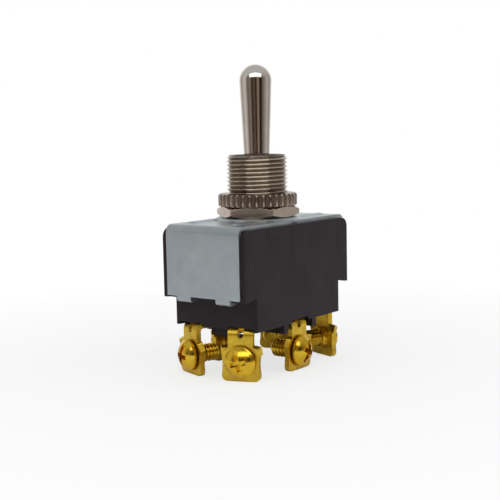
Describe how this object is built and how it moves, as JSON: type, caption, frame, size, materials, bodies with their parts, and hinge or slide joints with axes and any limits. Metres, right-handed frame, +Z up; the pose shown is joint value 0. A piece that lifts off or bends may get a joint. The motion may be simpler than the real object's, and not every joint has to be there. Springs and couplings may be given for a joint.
{
  "type": "panel toggle switch",
  "caption": "Panel toggle switch with a bat lever, threaded bushing with hex and knurled nuts, steel frame, dark moulded case and brass screw terminals.",
  "frame": {"origin": "on the bushing's axis, at the bushing's seat on the top of the frame's boss", "axes": "+Z up the bushing and the lever; X along the case's long side, which is the plane of the lever's swing; Y along the lever's hinge axis, from pole a to pole b"},
  "size_m": [0.0354, 0.0234, 0.0591],
  "materials": {
    "phenolic": "moulded phenolic, satin",
    "zinc_plate": "zinc plated sheet, satin",
    "fibre": "vulcanised fibre, matte",
    "nickel": "nickel plate, machined",
    "nickel_nut": "nickel plate, satin",
    "polished_nickel": "nickel plate, polished",
    "steel": "drawn steel",
    "nylon": "moulded, satin",
    "brass": "stamped brass",
    "copper": "formed copper strip",
    "silver": "silver contact, satin",
    "terminal_brass": "stamped brass, satin",
    "screw_brass": "turned brass, bright"
  },
  "bodies": {
    "switch": {"housing": "phenolic", "frame_plate": "zinc_plate", "fibre_liner": "fibre", "bushing": "nickel", "hex_nut": "nickel_nut", "knurled_nut": "nickel_nut", "saddle_a": "brass", "saddle_b": "brass", "terminal_a1": "terminal_brass", "terminal_a2": "terminal_brass", "terminal_a3": "terminal_brass", "terminal_b1": "terminal_brass", "terminal_b2": "terminal_brass", "terminal_b3": "terminal_brass", "terminal_screw_a1": "screw_brass", "terminal_screw_a2": "screw_brass", "terminal_screw_a3": "screw_brass", "terminal_screw_b1": "screw_brass", "terminal_screw_b2": "screw_brass", "terminal_screw_b3": "screw_brass", "contact_rivet_a1": "silver", "centre_rivet_a2": "brass", "contact_rivet_a3": "silver", "contact_rivet_b1": "silver", "centre_rivet_b2": "brass", "contact_rivet_b3": "silver"},
    "lever": {"lever": "polished_nickel", "pivot_pin": "steel", "carrier": "nylon", "spring_a": "steel", "spring_b": "steel"},
    "plunger_a": {"plunger_a": "brass"},
    "plunger_b": {"plunger_b": "brass"},
    "rocker_a": {"rocker_a": "copper", "moving_contact_a1": "silver", "moving_contact_a3": "silver"},
    "rocker_b": {"rocker_b": "copper", "moving_contact_b1": "silver", "moving_contact_b3": "silver"}
  },
  "joints": [
    {"name": "lever_swing", "type": "hinge", "parent": "switch", "child": "lever", "pos_m": [0, 0, 0.0052], "axis": [0, 1, 0], "range_deg": [-13, 13]},
    {"name": "plunger_a_slide", "type": "slide", "parent": "lever", "child": "plunger_a", "axis": [0, 0, 1], "range_m": [0, 0.0008], "stiffness_N_per_m": 800, "springref_m": -0.004, "deforming": ["spring_a"]},
    {"name": "plunger_b_slide", "type": "slide", "parent": "lever", "child": "plunger_b", "axis": [0, 0, 1], "range_m": [0, 0.0008], "stiffness_N_per_m": 800, "springref_m": -0.004, "deforming": ["spring_b"]},
    {"name": "rocker_a_tilt", "type": "hinge", "parent": "switch", "child": "rocker_a", "pos_m": [0, -0.0043, -0.01357], "axis": [0, 1, 0], "range_deg": [-8.05, 8.05]},
    {"name": "rocker_b_tilt", "type": "hinge", "parent": "switch", "child": "rocker_b", "pos_m": [0, 0.0043, -0.01357], "axis": [0, 1, 0], "range_deg": [-8.05, 8.05]}
  ],
  "couplings": [
    {"joint": "rocker_a_tilt", "follows": "lever_swing", "ratio": -0.61538},
    {"joint": "rocker_b_tilt", "follows": "lever_swing", "ratio": -0.61538}
  ]
}
